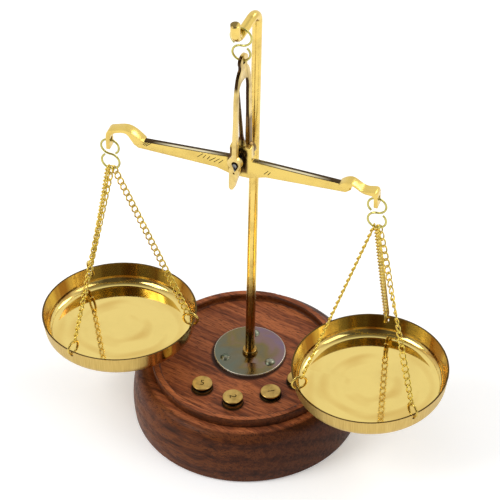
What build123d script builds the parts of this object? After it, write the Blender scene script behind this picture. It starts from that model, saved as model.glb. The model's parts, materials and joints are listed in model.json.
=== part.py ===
"""Apothecary scale: an equal-arm beam hung from a crooked pillar on a turned wooden base.

Millimetres. The origin is the centre of the base's underside, +Z is up, +X runs along the beam
to the right pan and -Y faces the person weighing.
"""

import os
from math import atan2, cos, degrees, radians, sin, tan

from build123d import *

# Turned wooden base, a shallow tray on a rounded body
base_belly_radius = 60.2
base_belly_height = 14.0
base_foot_inset = 0.6
base_shoulder_inset = 2.0
base_shoulder_height = 25.5
base_rim_inset = 10.4
base_height = 35.8
rim_wall_height = 5.2
rim_width = 3.7
tray_depth = 3.8
tray_corner_radius = 1.2
rim_edge_radius = 0.8
foot_chamfer = 1.0
nut_well_radius = 9.0
nut_well_depth = 9.0

# Pillar: a round brass rod that leans a little and ends in a crook
pillar_set_back = 5.5
pillar_radius = 2.5
pillar_lean = 1.78
pillar_bend_radius = 5.0
crook_dip = 13.0
crook_valley_radius = 4.5
crook_valley_beyond_hook = 1.2
crook_tip_length = 5.6
crook_tip_turn = 88.0
collar_radius = 3.8
collar_height = 1.8
collar_edge_radius = 0.5
tang_radius = 2.0
tang_clearance = 0.2
washer_radius = 7.0
washer_thickness = 1.0
nut_across_flats = 7.0
nut_height = 3.2
tang_past_nut = 1.2
rod_edge_chamfer = 0.25

# Flange plate and its three screws
plate_radius = 18.9
plate_thickness = 1.3
plate_edge_radius = 0.4
screw_count = 3
screw_spread = 13.8
screw_first_angle = -141.0
screw_head_radius = 2.8
screw_head_height = 1.3
screw_shank_radius = 1.3
screw_length = 12.0
screw_clearance = 0.05

# Where the beam hangs: the middle of its hub
pivot_x = 3.4
pivot_y = -10.6
pivot_z = 182.0
hanger_shift = 0.8

# Beam
beam_thickness = 3.3
hub_half_width = 5.65
hub_top = 7.4
hub_bottom = 11.8
hub_corner_radius = 0.8
arm_end = 52.0
arm_top_inner = 0.9
arm_top_outer = 2.8
arm_bottom_inner = 9.0
arm_bottom_outer = 7.4
arm_run_in = 13.0
arm_corner = 54.6
arm_corner_lean = 2.6
hub_bottom_half_width = 4.4
hub_root_radius = 3.0
pointer_height = 41.5
pointer_lean = 1.0
pointer_thickness = 1.2
pointer_tip_half_width = 0.3
pointer_half_width = 0.95
pointer_flare_height = 13.5
pointer_root_half_width = 2.4
neck_width = 5.5
neck_thickness = 2.0
neck_end_length = 4.2
neck_under_shift = 0.66
neck_under_drop = 0.75
neck_under_slope = 1.4
eye_reach = 70.5
eye_radius = 1.4
left_eye_drop = 7.4
right_eye_drop = 8.4
left_neck_crest = (61.5, 3.0)
left_neck_shoulder = (67.6, 1.3)
right_neck_crest = (57.8, 0.0)
right_neck_shoulder = (66.0, -3.6)
neck_root = (51.2, -3.0)
neck_underside = (56.0, -5.2)

# Knife edge through the hub, on which the beam rocks
knife_head_radius = 1.1
knife_head_height = 0.7
knife_edge_radius = 0.3
knife_edge_drop = 2.6
knife_turn = -5.0
knife_seat_clearance = 0.1
knife_end_past_fork = 0.6

# Fork that carries the knife edge; its upper heights are taken from the wire in its eye
fork_opening = 11.2
fork_turn = -9.5
fork_leg_thickness = 2.8
fork_leg_half_width = 1.2
fork_flare_bottom = 11.0
fork_flare_top = 26.0
fork_plate_half_width = 0.85
fork_boss_radius = 3.7
fork_boss_height = 1.0
fork_wire_height = 61.4
fork_eye_shift = 0.7
fork_eye_radius = 1.35
fork_eye_drop = 0.35
fork_knob_rise = 0.1
fork_knob_radius = 3.9
fork_neck_drop = 3.9
fork_neck_half_depth = 3.2
fork_arch_drop = 11.4
fork_shoulder_drop = 13.8
fork_shoulder_half_depth = 7.0
fork_leg_top_drop = 23.4
fork_leg_top_half_depth = 7.9
fork_leg_top_opening = 10.0
fork_window_radius = 1.9
fork_window_height = 0.9
fork_nick_radius = 0.55
fork_nick_drop = 4.9
fork_tail_radius = 1.3
fork_tail_drop = 14.8
fork_tail_lean = 1.45
fork_tail_root_radius = 2.7
fork_tail_root_drop = 3.4

# Wire hooks bent as an S
hook_wire_radius = 0.575
full_turn = 360.0
hook_end_opening = 40.0
hanger_upper_radius = 5.3
hanger_lower_radius = 4.6
beam_hook_radius = 4.75
hook_eye_clearance = 0.25
hook_bar_clearance = 0.2

# Pans
pan_rim_radius = 40.8
pan_bottom_radius = 38.9
pan_depth = 12.2
pan_wall = 0.9
pan_corner_radius = 6.0
pan_rim_height = 57.0
pan_hole_radius = 1.3
pan_hole_drop = 2.4
drill_run_in = 3.6
left_pan_offset = 70.0
right_pan_offset = 68.1
left_pan_slope_x = 1.94
left_pan_slope_y = -3.44
left_hole_angles = (134.4, -107.7, 5.5)
right_hole_angles = (-143.4, 94.8, -38.6)

# Chains and the rings that join them to the pans
ring_radius = 3.85
ring_wire_radius = 0.65
link_length = 4.7
link_width = 2.4
link_wire_radius = 0.425
link_pitch = 3.7
chain_spacing = 1.6
link_on_hook_clearance = 0.35
link_on_ring_clearance = 0.12

# Brass weights, each in its own socket in the tray
weight_radius = 5.25
weight_head = 0.9
weight_groove = 1.4
weight_groove_radius = 4.5
weight_edge_chamfer = 0.25
socket_clearance = 0.35
socket_depth = 5.0
weight_places = ((-14.8, -27.7), (3.9, -33.0), (20.8, -21.5), (30.8, -7.6))
weight_heights = (8.8, 9.6, 7.9, 8.0)

base_foot_radius = base_belly_radius - base_foot_inset
base_shoulder_radius = base_belly_radius - base_shoulder_inset
base_rim_radius = base_belly_radius - base_rim_inset
tray_floor = base_height - tray_depth
plate_top = tray_floor + plate_thickness
tang_length = plate_top - nut_well_depth + washer_thickness + nut_height + tang_past_nut
pillar_foot = (0.0, pillar_set_back)
pivot = Vector(pivot_x, pivot_y, pivot_z)
knife_across = Vector(cos(radians(knife_turn)), sin(radians(knife_turn)), 0)
knife_view = Plane(origin=pivot, x_dir=knife_across, z_dir=knife_across.cross(Vector(0, 0, 1)))
hanger_x = pivot_x + hanger_shift

# Heights of the hanging wires, from the fork's eye up to the crook and from the beam's eyes down
fork_eye_wire_z = pivot_z + fork_wire_height
hanger_waist_z = fork_eye_wire_z + 2 * hanger_lower_radius
hanger_top_z = hanger_waist_z + 2 * hanger_upper_radius
left_hook_top_z = pivot_z - left_eye_drop
right_hook_top_z = pivot_z - right_eye_drop
bar_half_height = pillar_radius / cos(radians(crook_dip))
bar_z = hanger_top_z - hook_wire_radius - hook_bar_clearance - bar_half_height


def build_base():
    """The turned body with its tray, weight sockets, screw holes and the well for the nut."""
    with BuildPart() as body:
        with BuildSketch(Plane.XZ):
            with BuildLine():
                foot = Line((0, 0), (base_foot_radius, 0))
                side = ThreePointArc(
                    foot @ 1,
                    (base_belly_radius, base_belly_height),
                    (base_shoulder_radius, base_shoulder_height),
                )
                shoulder = TangentArc(
                    side @ 1,
                    (base_rim_radius, base_height - rim_wall_height),
                    tangent=side % 1,
                )
                Polyline(
                    shoulder @ 1,
                    (base_rim_radius, base_height),
                    (base_rim_radius - rim_width, base_height),
                    (base_rim_radius - rim_width, tray_floor),
                    (0, tray_floor),
                    (0, 0),
                )
            make_face()
        revolve(axis=Axis.Z)
        chamfer(body.edges().group_by(Axis.Z)[0], foot_chamfer)
        rim_edges = body.edges().filter_by(GeomType.CIRCLE).group_by(Axis.Z)[-1]
        fillet(rim_edges, rim_edge_radius)
        floor_edges = body.edges().filter_by_position(Axis.Z, tray_floor, tray_floor)
        fillet(floor_edges, tray_corner_radius)
        with Locations([(x, y, tray_floor) for x, y in weight_places]):
            Hole(weight_radius + socket_clearance, depth=socket_depth)
        with Locations((*pillar_foot, tray_floor)):
            Hole(tang_radius + tang_clearance)
            with PolarLocations(screw_spread, screw_count, screw_first_angle):
                Hole(screw_shank_radius, depth=screw_length - plate_thickness)
        with BuildSketch():
            with Locations(pillar_foot):
                Circle(nut_well_radius)
        extrude(amount=nut_well_depth, mode=Mode.SUBTRACT)
    return body


def build_plate():
    """The round flange under the pillar, drilled for the tang and the screws."""
    with BuildPart() as plate:
        with BuildSketch(Plane.XY.offset(tray_floor)):
            with Locations(pillar_foot):
                Circle(plate_radius)
                Circle(tang_radius + tang_clearance, mode=Mode.SUBTRACT)
                with PolarLocations(screw_spread, screw_count, screw_first_angle):
                    Circle(screw_shank_radius + screw_clearance, mode=Mode.SUBTRACT)
        extrude(amount=plate_thickness)
        fillet(plate.edges().group_by(Axis.Z)[-1].sort_by(SortBy.RADIUS)[-1], plate_edge_radius)
    return plate


def build_screws():
    """Three dome-headed screws that hold the flange to the wood."""
    head_sphere = (screw_head_radius**2 + screw_head_height**2) / (2 * screw_head_height)
    tip_z = plate_thickness - screw_length
    with BuildPart() as one_screw:
        with BuildSketch(Plane.XZ):
            with BuildLine():
                tip = Line((0, tip_z), (screw_shank_radius, tip_z))
                shank = Line(tip @ 1, (screw_shank_radius, plate_thickness))
                seat = Line(shank @ 1, (screw_head_radius, plate_thickness))
                dome = RadiusArc(seat @ 1, (0, plate_thickness + screw_head_height), -head_sphere)
                Line(dome @ 1, tip @ 0)
            make_face()
        revolve(axis=Axis.Z)
    with BuildPart() as screws:
        with Locations((*pillar_foot, tray_floor)):
            with PolarLocations(screw_spread, screw_count, screw_first_angle):
                add(one_screw.part)
    return screws


def build_pillar():
    """Tang, collar and the leaning rod with its crook, whose valley lies over the hanger."""
    lean = tan(radians(pillar_lean))
    foot = Vector(*pillar_foot, plate_top)
    axis = Vector(lean, 0, 1).normalized()
    level = foot + Vector(lean, 0, 1) * (bar_z - plate_top)
    reach = Vector(hanger_x, pivot_y, bar_z) - level
    outward = (reach - axis * reach.dot(axis)).normalized()
    crook_plane = Plane(origin=foot, x_dir=outward, z_dir=outward.cross(axis))
    hang = crook_plane.to_local_coords(Vector(hanger_x, pivot_y, bar_z))
    dip = radians(crook_dip)
    bar_end_x = hang.X + crook_valley_beyond_hook - crook_valley_radius * sin(dip)
    bar_end_y = hang.Y - (bar_end_x - hang.X) * tan(dip)
    valley_x = bar_end_x + crook_valley_radius * sin(dip)
    valley_y = bar_end_y + crook_valley_radius * cos(dip)
    bar_start_x = pillar_bend_radius * (1 + sin(dip))
    bar_start_y = bar_end_y + (bar_end_x - bar_start_x) * tan(dip)
    rod_top = bar_start_y - pillar_bend_radius * cos(dip)
    turn_end = radians(crook_tip_turn - 90)
    tip_x = valley_x + crook_valley_radius * cos(turn_end)
    tip_y = valley_y + crook_valley_radius * sin(turn_end)
    tip_end = (tip_x - crook_tip_length * sin(turn_end), tip_y + crook_tip_length * cos(turn_end))
    with BuildPart() as pillar:
        with BuildSketch(Plane.XY.offset(plate_top)):
            with Locations(pillar_foot):
                Circle(collar_radius)
        extrude(amount=collar_height)
        fillet(pillar.edges().group_by(Axis.Z)[-1], collar_edge_radius)
        with BuildSketch(Plane.XY.offset(plate_top)):
            with Locations(pillar_foot):
                Circle(tang_radius)
        extrude(amount=-tang_length)
        with BuildLine(crook_plane) as route:
            Line((0, collar_height / 2), (0, rod_top))
            CenterArc((pillar_bend_radius, rod_top), pillar_bend_radius, 180, -90 - crook_dip)
            Line((bar_start_x, bar_start_y), (bar_end_x, bar_end_y))
            CenterArc((valley_x, valley_y), crook_valley_radius, 270 - crook_dip, crook_dip + crook_tip_turn)
            Line((tip_x, tip_y), tip_end)
        with BuildSketch(Plane(origin=foot + axis * (collar_height / 2), z_dir=axis)):
            Circle(pillar_radius)
        sweep(path=route.wires()[0])
        tip_edges = pillar.edges().filter_by(GeomType.CIRCLE).sort_by(Axis.Z)[-1]
        chamfer(tip_edges, rod_edge_chamfer)
    return pillar


def build_washer():
    """The flat washer in the well under the base."""
    with BuildPart() as washer:
        with BuildSketch(Plane.XY.offset(nut_well_depth)):
            with Locations(pillar_foot):
                Circle(washer_radius)
                Circle(tang_radius + tang_clearance, mode=Mode.SUBTRACT)
        extrude(amount=-washer_thickness)
    return washer


def build_nut():
    """The hexagon nut on the tang."""
    with BuildPart() as nut:
        with BuildSketch(Plane.XY.offset(nut_well_depth - washer_thickness)):
            with Locations(pillar_foot):
                RegularPolygon(nut_across_flats / 2, 6, major_radius=False)
                Circle(tang_radius, mode=Mode.SUBTRACT)
        extrude(amount=-nut_height)
    return nut


def build_s_hook(x, y, top_z, upper_radius, lower_radius, hand):
    """A wire hook of two open loops; hand is 1 where the upper loop opens to the left, else -1."""
    waist_z = top_z - 2 * upper_radius
    side_view = Plane(origin=(x, y, 0), x_dir=(hand, 0, 0), z_dir=(0, -hand, 0))
    arc_size = full_turn - hook_end_opening
    with BuildPart() as hook:
        with BuildLine(side_view) as route:
            CenterArc((0, waist_z + upper_radius), upper_radius, 270 - hook_end_opening, -arc_size)
            CenterArc((0, waist_z - lower_radius), lower_radius, 90, arc_size)
        with BuildSketch(Plane(origin=route.wires()[0] @ 0, z_dir=route.wires()[0] % 0)):
            Circle(hook_wire_radius)
        sweep(path=route.wires()[0])
    return hook


def build_fork():
    """The forged fork: a plate with the eye, an arch and two legs astride the beam."""
    up = Vector(hanger_shift + fork_eye_shift, 0, fork_wire_height).normalized()
    facing = Vector(cos(radians(fork_turn)), sin(radians(fork_turn)), 0).cross(up).normalized()
    front_view = Plane(origin=pivot, x_dir=up.cross(facing), z_dir=facing)
    side_view = Plane(origin=pivot, x_dir=-facing, z_dir=up.cross(facing))
    half_depth = fork_opening / 2 + fork_leg_thickness
    knob_height = fork_wire_height + fork_knob_rise
    leg_top = fork_wire_height - fork_leg_top_drop
    tip_height = -fork_tail_drop - fork_tail_radius
    with BuildPart() as fork:
        with BuildSketch(front_view):
            with BuildLine():
                Polyline(
                    (0, knob_height + fork_knob_radius),
                    (fork_plate_half_width, knob_height + fork_knob_radius),
                    (fork_plate_half_width, fork_flare_top),
                    (fork_leg_half_width, fork_flare_bottom),
                    (fork_leg_half_width, fork_boss_height),
                    (0, fork_boss_height),
                )
                mirror(about=Plane.YZ)
            make_face()
            with Locations((0, fork_boss_height)):
                Circle(fork_boss_radius)
            with BuildSketch(mode=Mode.ADD):
                with Locations((0, -fork_tail_root_drop)):
                    Circle(fork_tail_root_radius)
                with Locations((-fork_tail_lean, -fork_tail_drop)):
                    Circle(fork_tail_radius)
                make_hull()
        extrude(amount=half_depth, both=True)
        with BuildSketch(side_view):
            with BuildLine():
                neck = Polyline(
                    (0, knob_height),
                    (fork_neck_half_depth, knob_height),
                    (fork_neck_half_depth, fork_wire_height - fork_neck_drop),
                )
                shoulder = Spline(
                    neck @ 1,
                    (fork_shoulder_half_depth, fork_wire_height - fork_shoulder_drop),
                    (fork_leg_top_half_depth, leg_top),
                    tangents=((1, -1), (0, -1)),
                )
                leg = Polyline(
                    shoulder @ 1,
                    (half_depth, fork_flare_bottom),
                    (half_depth, tip_height),
                    (fork_opening / 2, tip_height),
                    (fork_opening / 2, fork_flare_bottom),
                    (fork_leg_top_opening / 2, leg_top),
                )
                Spline(leg @ 1, (0, fork_wire_height - fork_arch_drop), tangents=((0, 1), (-1, 0)))
                mirror(about=Plane.YZ)
            make_face()
            with Locations((0, knob_height)):
                Circle(fork_knob_radius)
        extrude(amount=fork_boss_radius, both=True, mode=Mode.INTERSECT)
        with BuildSketch(knife_view):
            with Locations((0, fork_window_height)):
                Circle(fork_window_radius)
            with Locations((0, -knife_edge_drop)):
                Circle(knife_edge_radius + knife_seat_clearance)
            make_hull()
        extrude(amount=half_depth + knife_end_past_fork, both=True, mode=Mode.SUBTRACT)
        with BuildSketch(front_view):
            with Locations((0, -fork_nick_drop)):
                Circle(fork_nick_radius)
        extrude(amount=half_depth, both=True, mode=Mode.SUBTRACT)
        with BuildSketch(side_view):
            with Locations((0, fork_wire_height - fork_eye_drop)):
                Circle(fork_eye_radius)
        extrude(amount=fork_knob_radius, both=True, mode=Mode.SUBTRACT)
    return fork


def build_knife():
    """The steel knife edge, a wedge through the hub with its edge down."""
    with BuildPart() as knife:
        with BuildSketch(knife_view):
            sketch_knife()
        extrude(amount=fork_opening / 2 + fork_leg_thickness + knife_end_past_fork, both=True)
    return knife


def sketch_knife():
    """The wedge's section: a round back drawn down to a fine edge."""
    with Locations((0, knife_head_height)):
        Circle(knife_head_radius)
    with Locations((0, -knife_edge_drop)):
        Circle(knife_edge_radius)
    make_hull()


def neck_outline(crest, shoulder, eye_drop):
    """Edge points of a swan neck, from its root over the crest to the eye and back underneath."""
    end_x = eye_reach + neck_thickness / 2
    end_top = -eye_drop + eye_radius + neck_thickness / 2
    end_bottom = -eye_drop - neck_end_length
    top = Spline(neck_root, crest, shoulder, (end_x, end_top), tangents=((1, 1), (0, -1)))
    outside = Line(top @ 1, (end_x, end_bottom))
    toe = Line(outside @ 1, (end_x - neck_thickness, end_bottom))
    inside = Line(toe @ 1, (end_x - neck_thickness, end_top - neck_thickness / 2))
    under = Spline(
        inside @ 1,
        (shoulder[0] - neck_thickness * neck_under_shift, shoulder[1] - neck_thickness * neck_under_drop),
        (crest[0], crest[1] - neck_thickness),
        neck_underside,
        tangents=((0, 1), (-1, -neck_under_slope)),
    )
    Line(under @ 1, neck_root)


def build_beam():
    """Hub with its pointer, two flat arms and two swan necks, each with an eye for its hook."""
    front_view = Plane(origin=pivot, x_dir=(1, 0, 0), z_dir=(0, -1, 0))
    back_view = Plane(origin=pivot, x_dir=(-1, 0, 0), z_dir=(0, 1, 0))
    with BuildPart() as beam:
        with BuildSketch(front_view) as arms:
            with BuildLine():
                Polyline(
                    (0, hub_top),
                    (hub_half_width, hub_top),
                    (hub_half_width, -arm_top_inner),
                    (arm_end, -arm_top_outer),
                    (arm_corner + arm_corner_lean, -arm_top_outer - arm_corner_lean),
                    (arm_corner, -arm_bottom_outer),
                    (arm_run_in, -arm_bottom_inner),
                    (hub_bottom_half_width, -hub_bottom),
                    (0, -hub_bottom),
                )
                mirror(about=Plane.YZ)
            make_face()
            fillet(arms.vertices().group_by(Axis.Y)[-1], hub_corner_radius)
            fillet(arms.vertices().group_by(Axis.Y)[0], hub_root_radius)
        extrude(amount=beam_thickness / 2, both=True)
        with BuildSketch(front_view):
            with BuildLine():
                Polyline(
                    (-pointer_root_half_width, hub_top - hub_corner_radius),
                    (-pointer_half_width, pointer_flare_height),
                    (-pointer_tip_half_width - pointer_lean, pointer_height),
                    (pointer_tip_half_width - pointer_lean, pointer_height),
                    (pointer_half_width, pointer_flare_height),
                    (pointer_root_half_width, hub_top - hub_corner_radius),
                    close=True,
                )
            make_face()
        extrude(amount=pointer_thickness / 2, both=True)
        with BuildSketch(back_view):
            with BuildLine():
                neck_outline(left_neck_crest, left_neck_shoulder, left_eye_drop)
            make_face()
        extrude(amount=neck_width / 2, both=True)
        with BuildSketch(front_view):
            with BuildLine():
                neck_outline(right_neck_crest, right_neck_shoulder, right_eye_drop)
            make_face()
        extrude(amount=neck_width / 2, both=True)
        with BuildSketch(knife_view):
            sketch_knife()
        extrude(amount=beam_thickness, both=True, mode=Mode.SUBTRACT)
        for side, eye_drop in ((-1, left_eye_drop), (1, right_eye_drop)):
            eye_z = -eye_drop + eye_radius - hook_wire_radius - hook_eye_clearance
            inner = pivot + Vector(side * (eye_reach - neck_thickness), 0, eye_z)
            with BuildSketch(Plane(origin=inner, z_dir=(side, 0, 0))):
                Circle(eye_radius)
            extrude(amount=2 * neck_thickness, mode=Mode.SUBTRACT)
    return beam


def pan_plane(side):
    """The plane of a pan's rim; the left pan hangs with a slight slope."""
    if side < 0:
        slope_x, slope_y, offset = left_pan_slope_x, left_pan_slope_y, -left_pan_offset
    else:
        slope_x, slope_y, offset = 0.0, 0.0, right_pan_offset
    normal = Vector(-tan(radians(slope_x)), -tan(radians(slope_y)), 1)
    x_dir = Vector(1, 0, tan(radians(slope_x)))
    return Plane(origin=(pivot_x + offset, pivot_y, pan_rim_height), x_dir=x_dir, z_dir=normal)


def turned(plane, angle):
    """The plane turned about its own normal by an angle in degrees."""
    x_dir = plane.x_dir * cos(radians(angle)) + plane.y_dir * sin(radians(angle))
    return Plane(origin=plane.origin, x_dir=x_dir, z_dir=plane.z_dir)


def build_pan(side, hole_angles):
    """A thin spun pan with a soft corner and three holes under the rim."""
    rim_plane = pan_plane(side)
    profile_plane = Plane(origin=rim_plane.origin, x_dir=rim_plane.x_dir, z_dir=-rim_plane.y_dir)
    axis = Axis(rim_plane.origin, rim_plane.z_dir)
    with BuildPart() as pan:
        with BuildSketch(profile_plane):
            with BuildLine():
                Polyline((0, -pan_depth), (pan_bottom_radius, -pan_depth), (pan_rim_radius, 0))
                Polyline(
                    (pan_rim_radius, 0),
                    (pan_rim_radius - pan_wall, 0),
                    (pan_bottom_radius - pan_wall, -pan_depth + pan_wall),
                    (0, -pan_depth + pan_wall),
                    (0, -pan_depth),
                )
            make_face()
        revolve(axis=axis)
        for radius, corner in (
            (pan_bottom_radius, pan_corner_radius),
            (pan_bottom_radius - pan_wall, pan_corner_radius - pan_wall),
        ):
            circles = pan.edges().filter_by(GeomType.CIRCLE)
            fillet(circles.sort_by(lambda edge: abs(edge.radius - radius))[0], corner)
        for angle in hole_angles:
            hole_plane = turned(rim_plane, angle)
            start = hole_plane.from_local_coords((pan_rim_radius - drill_run_in, 0, -pan_hole_drop))
            with BuildSketch(Plane(origin=start, z_dir=hole_plane.x_dir)):
                Circle(pan_hole_radius)
            extrude(amount=2 * drill_run_in, mode=Mode.SUBTRACT)
    return pan


def hanging_lines(side, hole_angles, hook_top_z):
    """For each chain of a side: the hook point, the hole point and the pan's radial direction."""
    rim_plane = pan_plane(side)
    wall_slope = (pan_rim_radius - pan_bottom_radius) / pan_depth
    hole_radius = pan_rim_radius - wall_slope * pan_hole_drop - pan_wall / 2
    lines = []
    for place, angle in zip((-1, 0, 1), hole_angles):
        across = place * chain_spacing
        sag = beam_hook_radius - (beam_hook_radius**2 - across**2) ** 0.5
        hook_z = hook_top_z - 4 * beam_hook_radius + sag
        hook_point = Vector(pivot_x + side * eye_reach + across, pivot_y, hook_z)
        hole_plane = turned(rim_plane, angle)
        hole_point = hole_plane.from_local_coords(Vector(hole_radius, 0, -pan_hole_drop))
        lines.append((hook_point, hole_point, hole_plane.x_dir))
    return lines


def build_ring(hook_point, hole_point, radial):
    """The wire ring through a pan's rim, in line with its chain."""
    up = (hook_point - hole_point).normalized()
    flat = up.cross(radial).normalized()
    top = hole_point + up * (2 * ring_radius)
    with BuildPart() as ring:
        with BuildSketch(Plane(origin=top, x_dir=up, z_dir=up.cross(flat))):
            Circle(ring_wire_radius)
        revolve(axis=Axis(hole_point + up * ring_radius, flat))
    return ring


def build_link():
    """One chain link, long in X and flat in XY."""
    half_straight = (link_length - link_width) / 2
    with BuildPart() as link:
        with BuildLine() as route:
            Line((-half_straight, link_width / 2), (half_straight, link_width / 2))
            CenterArc((half_straight, 0), link_width / 2, 90, -180)
            Line((half_straight, -link_width / 2), (-half_straight, -link_width / 2))
            CenterArc((-half_straight, 0), link_width / 2, 270, -180)
        with BuildSketch(Plane(origin=(-half_straight, link_width / 2, 0), z_dir=(1, 0, 0))):
            Circle(link_wire_radius)
        sweep(path=route.wires()[0])
    return link


def build_chain(link, hook_point, hole_point, radial):
    """A straight hanging chain: each link a quarter turn on, eased round to meet its ring."""
    down = (hole_point - hook_point).normalized()
    above_hook = hook_wire_radius + link_wire_radius + link_on_hook_clearance
    below_ring = ring_wire_radius + link_wire_radius + link_on_ring_clearance
    first = hook_point - down * above_hook
    last = hole_point - down * (2 * ring_radius - below_ring)
    span = (last - first).dot(down) - link_length
    steps = round(span / link_pitch)
    across = (Vector(1, 0, 0) - down * down.X).normalized()
    final = (radial - down * radial.dot(down)).normalized()
    aside = down.cross(across)
    turn = degrees(atan2(final.dot(aside), final.dot(across))) - 90 * steps
    turn -= 180 * round(turn / 180)
    places = []
    for step in range(steps + 1):
        centre = first + down * (link_length / 2 + span * step / steps)
        angle = radians(step * (90 + turn / steps))
        normal = across * cos(angle) + aside * sin(angle)
        places.append(Plane(origin=centre, x_dir=down, z_dir=normal).location)
    with BuildPart() as chain:
        with Locations(*places):
            add(link.part)
    return chain


def build_weight(x, y, height):
    """A turned weight: a body with a lip, a groove to grip it by and a flat head."""
    shoulder = height - weight_head - weight_groove
    foot = Vector(x, y, tray_floor - socket_depth)
    with BuildPart() as weight:
        with BuildSketch(Plane(origin=foot, x_dir=(1, 0, 0), z_dir=(0, -1, 0))) as profile:
            with BuildLine():
                Polyline(
                    (0, 0),
                    (weight_radius, 0),
                    (weight_radius, shoulder),
                    (weight_groove_radius, shoulder),
                    (weight_groove_radius, shoulder + weight_groove),
                    (weight_radius, shoulder + weight_groove),
                    (weight_radius, height),
                    (0, height),
                    (0, 0),
                )
            make_face()
            chamfer(profile.vertices().group_by(Axis.X)[-1], weight_edge_chamfer)
        revolve(axis=Axis(foot, (0, 0, 1)))
    return weight


def save(name, piece):
    """Label a finished piece and write it under its own name."""
    piece.part.label = name
    export_step(piece.part, f"parts/{name}.step")


def main():
    """Build every piece of the scale and write it out."""
    os.makedirs("parts", exist_ok=True)
    save("wooden_base", build_base())
    save("flange_plate", build_plate())
    save("flange_screws", build_screws())
    save("pillar_rod", build_pillar())
    save("pillar_washer", build_washer())
    save("pillar_nut", build_nut())
    save(
        "hanger_hook",
        build_s_hook(hanger_x, pivot_y, hanger_top_z, hanger_upper_radius, hanger_lower_radius, 1),
    )
    save("suspension_fork", build_fork())
    save("knife_edge", build_knife())
    save("beam", build_beam())
    link = build_link()
    for name, side, hook_top_z, hole_angles in (
        ("left", -1, left_hook_top_z, left_hole_angles),
        ("right", 1, right_hook_top_z, right_hole_angles),
    ):
        eye_x = pivot_x + side * eye_reach
        hook = build_s_hook(eye_x, pivot_y, hook_top_z, beam_hook_radius, beam_hook_radius, side)
        save(f"{name}_beam_hook", hook)
        save(f"{name}_pan", build_pan(side, hole_angles))
        for number, line in enumerate(hanging_lines(side, hole_angles, hook_top_z), start=1):
            save(f"{name}_chain_{number}", build_chain(link, *line))
            save(f"{name}_ring_{number}", build_ring(*line))
    for number, (place, height) in enumerate(zip(weight_places, weight_heights), start=1):
        save(f"weight_{number}", build_weight(*place, height))


main()
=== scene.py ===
"""Looks of an apothecary scale: a small brass balance on a turned rosewood base.

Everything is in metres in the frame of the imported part: +Z is up, +X runs along the beam to the
right pan and -Y faces the person weighing. Sizes below are written in millimetres and turned to
metres where a mesh or a node takes them.
"""

from __future__ import annotations

import json
import logging
import math
from collections.abc import Iterable
from dataclasses import dataclass
from enum import Enum

import bmesh
import bpy
from mathutils import Matrix, Vector

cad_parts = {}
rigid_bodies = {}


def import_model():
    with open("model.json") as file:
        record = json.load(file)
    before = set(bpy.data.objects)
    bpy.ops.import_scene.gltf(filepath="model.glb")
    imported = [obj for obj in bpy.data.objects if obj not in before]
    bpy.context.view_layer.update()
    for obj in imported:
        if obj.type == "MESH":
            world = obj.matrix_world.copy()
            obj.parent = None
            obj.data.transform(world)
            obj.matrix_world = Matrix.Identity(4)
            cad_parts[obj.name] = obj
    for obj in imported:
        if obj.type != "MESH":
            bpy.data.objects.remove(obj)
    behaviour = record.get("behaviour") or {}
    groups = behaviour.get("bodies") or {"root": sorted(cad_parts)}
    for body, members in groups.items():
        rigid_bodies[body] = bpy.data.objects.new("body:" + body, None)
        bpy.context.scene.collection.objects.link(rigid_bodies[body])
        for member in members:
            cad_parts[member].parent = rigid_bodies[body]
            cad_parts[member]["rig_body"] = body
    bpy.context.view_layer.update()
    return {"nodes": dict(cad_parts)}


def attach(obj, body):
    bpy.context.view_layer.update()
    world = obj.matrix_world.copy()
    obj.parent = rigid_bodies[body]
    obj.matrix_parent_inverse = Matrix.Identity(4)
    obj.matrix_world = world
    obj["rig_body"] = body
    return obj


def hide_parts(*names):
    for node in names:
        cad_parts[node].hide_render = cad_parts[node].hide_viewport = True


LOG = logging.getLogger("apothecary_scale")
MM = 0.001
WAVE_LENGTH = 0.314  # length of one wave of the wave texture at scale 1
FULL_TURN = 6.28  # bearings round a pan, in radians
LEVEL = (1, 1, 0)
WHITE = (1, 1, 1, 1)

Colour = tuple[float, float, float, float]
Triple = tuple[float, float, float]
Span = tuple[float, float]
Route = tuple[Triple, Triple, float, float]
Socket = bpy.types.NodeSocket
Tree = bpy.types.NodeTree
Mask = Socket | dict[str, object]
Piece = bpy.types.Object
Nodes = dict[str, Piece]


def linear(hex_colour: str) -> Colour:
    """Turns an sRGB hex colour to linear RGBA.

    Args:
        hex_colour: Six hex digits, such as "B08A2A".

    Returns:
        Red, green, blue and alpha as Blender's sockets take them.
    """
    channels = []
    for start in (0, 2, 4):
        value = int(hex_colour[start : start + 2], 16) / 255
        channels.append(value / 12.92 if value <= 0.04045 else ((value + 0.055) / 1.055) ** 2.4)
    return (*channels, 1.0)


def metres(sizes: Iterable[float]) -> tuple[float, ...]:
    """Returns sizes given in millimetres as metres."""
    return tuple(size * MM for size in sizes)


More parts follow.
